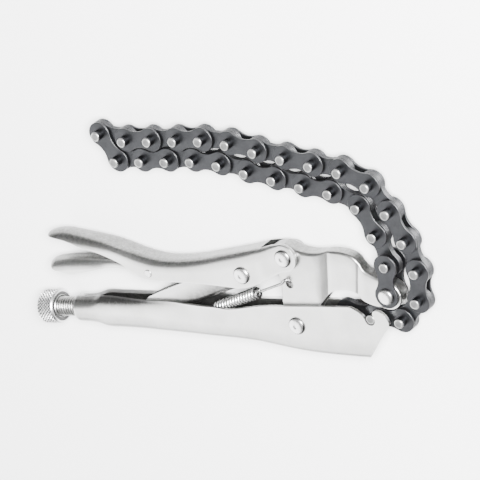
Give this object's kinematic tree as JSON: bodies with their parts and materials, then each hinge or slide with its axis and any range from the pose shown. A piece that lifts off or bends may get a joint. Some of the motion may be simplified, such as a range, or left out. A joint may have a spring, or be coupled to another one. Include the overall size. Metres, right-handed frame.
{
  "type": "locking chain clamp",
  "caption": "Locking pliers of bent sheet steel with an over-centre toggle, an adjusting screw and a roller-pin chain that loops round the work and hooks into a notch.",
  "frame": {"origin": "on the jaw pivot's axis, on the plane that the tool rests on, at the flat of the rivet's lower dome", "axes": "+X along the fixed handle from the knob to the hook; +Y from the fixed handle to the lever handle; +Z along the pivots, up when the tool lies on its side"},
  "size_m": [0.2463, 0.1261, 0.018],
  "materials": {
    "body_steel": "satin nickel-plated sheet",
    "rivet_steel": "polished domes",
    "screw_steel": "plated, turned",
    "chain_outer": "dark phosphate, oiled",
    "chain_inner": "dark phosphate, oiled",
    "spring_steel": "bright spring wire"
  },
  "bodies": {
    "handle_body": {"fixed_handle": "body_steel", "jaw_pivot_rivet": "rivet_steel", "tension_spring": "spring_steel"},
    "jaw_body": {"jaw": "body_steel"},
    "lever_body": {"lever_handle": "body_steel", "lever_pivot_rivet": "rivet_steel", "toggle_rivet": "rivet_steel", "release_pin": "rivet_steel"},
    "toggle_body": {"toggle_link": "body_steel"},
    "blade_body": {"release_lever": "body_steel"},
    "screw_body": {"adjusting_screw": "screw_steel"},
    "knob_body": {"adjusting_knob": "screw_steel"},
    "link_01_body": {"link_01": "chain_outer", "nose_spacer_near": "chain_inner", "nose_spacer_far": "chain_inner", "nose_rivet": "rivet_steel"},
    "link_02_body": {"link_02": "chain_inner"},
    "link_03_body": {"link_03": "chain_outer"},
    "link_04_body": {"link_04": "chain_inner"},
    "link_05_body": {"link_05": "chain_outer"},
    "link_06_body": {"link_06": "chain_inner"},
    "link_07_body": {"link_07": "chain_outer"},
    "link_08_body": {"link_08": "chain_inner"},
    "link_09_body": {"link_09": "chain_outer"},
    "link_10_body": {"link_10": "chain_inner"},
    "link_11_body": {"link_11": "chain_outer"},
    "link_12_body": {"link_12": "chain_inner"},
    "link_13_body": {"link_13": "chain_outer"},
    "link_14_body": {"link_14": "chain_inner"},
    "link_15_body": {"link_15": "chain_outer"},
    "link_16_body": {"link_16": "chain_inner"},
    "link_17_body": {"link_17": "chain_outer"},
    "link_18_body": {"link_18": "chain_inner"},
    "link_19_body": {"link_19": "chain_outer"},
    "link_20_body": {"link_20": "chain_inner"},
    "link_21_body": {"link_21": "chain_outer"},
    "link_22_body": {"link_22": "chain_inner"},
    "link_23_body": {"link_23": "chain_outer"},
    "link_24_body": {"link_24": "chain_inner"},
    "link_25_body": {"link_25": "chain_outer"},
    "link_26_body": {"link_26": "chain_inner"},
    "link_27_body": {"link_27": "chain_outer"},
    "link_28_body": {"link_28": "chain_inner"},
    "link_29_body": {"link_29": "chain_outer"},
    "link_30_body": {"link_30": "chain_inner"}
  },
  "joints": [
    {"name": "jaw_open", "type": "hinge", "parent": "handle_body", "child": "jaw_body", "pos_m": [0, 0, 0.009], "axis": [0, 0, 1], "range_deg": [0, 16], "deforming": ["tension_spring"]},
    {"name": "lever_open", "type": "hinge", "parent": "jaw_body", "child": "lever_body", "pos_m": [0.0024, 0.0362, 0.009], "axis": [0, 0, -1], "range_deg": [0, 60]},
    {"name": "toggle_turn", "type": "hinge", "parent": "lever_body", "child": "toggle_body", "pos_m": [-0.0255, 0.027, 0.009], "axis": [0, 0, 1], "range_deg": [0, 63.38]},
    {"name": "release_press", "type": "hinge", "parent": "lever_body", "child": "blade_body", "pos_m": [-0.0845, 0.0276, 0.009], "axis": [0, 0, -1], "range_deg": [0, 7]},
    {"name": "screw_travel", "type": "slide", "parent": "handle_body", "child": "screw_body", "axis": [1, 0, 0], "range_m": [-0.008, 0]},
    {"name": "knob_turn", "type": "hinge", "parent": "screw_body", "child": "knob_body", "pos_m": [-0.15, 0.0052, 0.009], "axis": [1, 0, 0], "range_deg": [-1152, 0]},
    {"name": "chain_01", "type": "hinge", "parent": "jaw_body", "child": "link_01_body", "pos_m": [0.0562, 0.0155, 0.009], "axis": [0, 0, -1], "range_deg": [0, 6]},
    {"name": "chain_02", "type": "hinge", "parent": "link_01_body", "child": "link_02_body", "pos_m": [0.05977, 0.03097, 0.009], "axis": [0, 0, -1], "range_deg": [0, 6]},
    {"name": "chain_03", "type": "hinge", "parent": "link_02_body", "child": "link_03_body", "pos_m": [0.05729, 0.04665, 0.009], "axis": [0, 0, -1], "range_deg": [-6, 0]},
    {"name": "chain_04", "type": "hinge", "parent": "link_03_body", "child": "link_04_body", "pos_m": [0.05212, 0.06166, 0.009], "axis": [0, 0, -1], "range_deg": [0, 44]},
    {"name": "chain_05", "type": "hinge", "parent": "link_04_body", "child": "link_05_body", "pos_m": [0.03823, 0.06935, 0.009], "axis": [0, 0, -1], "range_deg": [0, 5]},
    {"name": "chain_06", "type": "hinge", "parent": "link_05_body", "child": "link_06_body", "pos_m": [0.02277, 0.07293, 0.009], "axis": [0, 0, -1], "range_deg": [0, 5]},
    {"name": "chain_07", "type": "hinge", "parent": "link_06_body", "child": "link_07_body", "pos_m": [0.00736, 0.07677, 0.009], "axis": [0, 0, -1], "range_deg": [0, 5]},
    {"name": "chain_08", "type": "hinge", "parent": "link_07_body", "child": "link_08_body", "pos_m": [-0.00804, 0.08061, 0.009], "axis": [0, 0, -1], "range_deg": [0, 5]},
    {"name": "chain_09", "type": "hinge", "parent": "link_08_body", "child": "link_09_body", "pos_m": [-0.0233, 0.08498, 0.009], "axis": [0, 0, -1], "range_deg": [-5, 0]},
    {"name": "chain_10", "type": "hinge", "parent": "link_09_body", "child": "link_10_body", "pos_m": [-0.03902, 0.08719, 0.009], "axis": [0, 0, -1], "range_deg": [-5, 0]},
    {"name": "chain_11", "type": "hinge", "parent": "link_10_body", "child": "link_11_body", "pos_m": [-0.05489, 0.08747, 0.009], "axis": [0, 0, -1], "range_deg": [-5, 0]},
    {"name": "chain_12", "type": "hinge", "parent": "link_11_body", "child": "link_12_body", "pos_m": [-0.07077, 0.08775, 0.009], "axis": [0, 0, -1], "range_deg": [-5, 0]},
    {"name": "chain_13", "type": "hinge", "parent": "link_12_body", "child": "link_13_body", "pos_m": [-0.08664, 0.08802, 0.009], "axis": [0, 0, -1], "range_deg": [-44, 0]},
    {"name": "chain_14", "type": "hinge", "parent": "link_13_body", "child": "link_14_body", "pos_m": [-0.0936, 0.10229, 0.009], "axis": [0, 0, -1], "range_deg": [-0.564, 0]},
    {"name": "chain_15", "type": "hinge", "parent": "link_14_body", "child": "link_15_body", "pos_m": [-0.07813, 0.09872, 0.009], "axis": [0, 0, -1], "range_deg": [0, 44]},
    {"name": "chain_16", "type": "hinge", "parent": "link_15_body", "child": "link_16_body", "pos_m": [-0.06226, 0.09844, 0.009], "axis": [0, 0, -1], "range_deg": [0, 5]},
    {"name": "chain_17", "type": "hinge", "parent": "link_16_body", "child": "link_17_body", "pos_m": [-0.04638, 0.09817, 0.009], "axis": [0, 0, -1], "range_deg": [0, 5]},
    {"name": "chain_18", "type": "hinge", "parent": "link_17_body", "child": "link_18_body", "pos_m": [-0.03051, 0.09789, 0.009], "axis": [0, 0, -1], "range_deg": [0, 5]},
    {"name": "chain_19", "type": "hinge", "parent": "link_18_body", "child": "link_19_body", "pos_m": [-0.01479, 0.09568, 0.009], "axis": [0, 0, -1], "range_deg": [0, 5]},
    {"name": "chain_20", "type": "hinge", "parent": "link_19_body", "child": "link_20_body", "pos_m": [0.00047, 0.0913, 0.009], "axis": [0, 0, -1], "range_deg": [-5, 0]},
    {"name": "chain_21", "type": "hinge", "parent": "link_20_body", "child": "link_21_body", "pos_m": [0.01587, 0.08746, 0.009], "axis": [0, 0, -1], "range_deg": [-5, 0]},
    {"name": "chain_22", "type": "hinge", "parent": "link_21_body", "child": "link_22_body", "pos_m": [0.03128, 0.08362, 0.009], "axis": [0, 0, -1], "range_deg": [-5, 0]},
    {"name": "chain_23", "type": "hinge", "parent": "link_22_body", "child": "link_23_body", "pos_m": [0.04674, 0.08005, 0.009], "axis": [0, 0, -1], "range_deg": [-5, 0]},
    {"name": "chain_24", "type": "hinge", "parent": "link_23_body", "child": "link_24_body", "pos_m": [0.06063, 0.07236, 0.009], "axis": [0, 0, -1], "range_deg": [-44, 0]},
    {"name": "chain_25", "type": "hinge", "parent": "link_24_body", "child": "link_25_body", "pos_m": [0.06808, 0.05834, 0.009], "axis": [0, 0, -1], "range_deg": [0, 0.498]},
    {"name": "chain_26", "type": "hinge", "parent": "link_25_body", "child": "link_26_body", "pos_m": [0.07325, 0.04333, 0.009], "axis": [0, 0, -1], "range_deg": [0, 6]},
    {"name": "chain_27", "type": "hinge", "parent": "link_26_body", "child": "link_27_body", "pos_m": [0.07573, 0.02765, 0.009], "axis": [0, 0, -1], "range_deg": [-5.54, 0]},
    {"name": "chain_28", "type": "hinge", "parent": "link_27_body", "child": "link_28_body", "pos_m": [0.07216, 0.01218, 0.009], "axis": [0, 0, -1], "range_deg": [-6, 0]},
    {"name": "chain_29", "type": "hinge", "parent": "link_28_body", "child": "link_29_body", "pos_m": [0.06018, 0.00177, 0.009], "axis": [0, 0, -1], "range_deg": [-0.396, 0]},
    {"name": "chain_30", "type": "hinge", "parent": "link_29_body", "child": "link_30_body", "pos_m": [0.04442, 0.0037, 0.009], "axis": [0, 0, -1], "range_deg": [-5, 20]}
  ],
  "couplings": [
    {"joint": "lever_open", "follows": "jaw_open", "ratio": 3.75},
    {"joint": "toggle_turn", "follows": "jaw_open", "ratio": 3.9615},
    {"joint": "knob_turn", "follows": "screw_travel", "rad_per_m": 2513.3},
    {"joint": "chain_03", "follows": "chain_01", "ratio": -1},
    {"joint": "chain_04", "follows": "jaw_open", "ratio": 2.75},
    {"joint": "chain_09", "follows": "chain_08", "ratio": -1},
    {"joint": "chain_10", "follows": "chain_07", "ratio": -1},
    {"joint": "chain_11", "follows": "chain_06", "ratio": -1},
    {"joint": "chain_12", "follows": "chain_05", "ratio": -1},
    {"joint": "chain_13", "follows": "jaw_open", "ratio": -2.75},
    {"joint": "chain_14", "follows": "chain_02", "ratio": -0.094},
    {"joint": "chain_15", "follows": "jaw_open", "ratio": 2.75},
    {"joint": "chain_16", "follows": "chain_05", "ratio": 1},
    {"joint": "chain_17", "follows": "chain_06", "ratio": 1},
    {"joint": "chain_18", "follows": "chain_07", "ratio": 1},
    {"joint": "chain_19", "follows": "chain_08", "ratio": 1},
    {"joint": "chain_20", "follows": "chain_08", "ratio": -1},
    {"joint": "chain_21", "follows": "chain_07", "ratio": -1},
    {"joint": "chain_22", "follows": "chain_06", "ratio": -1},
    {"joint": "chain_23", "follows": "chain_05", "ratio": -1},
    {"joint": "chain_24", "follows": "jaw_open", "ratio": -2.75},
    {"joint": "chain_25", "follows": "chain_02", "ratio": 0.083},
    {"joint": "chain_26", "follows": "chain_01", "ratio": 1},
    {"joint": "chain_27", "follows": "chain_02", "ratio": -0.923},
    {"joint": "chain_28", "follows": "chain_01", "ratio": -1},
    {"joint": "chain_29", "follows": "chain_02", "ratio": -0.066}
  ]
}
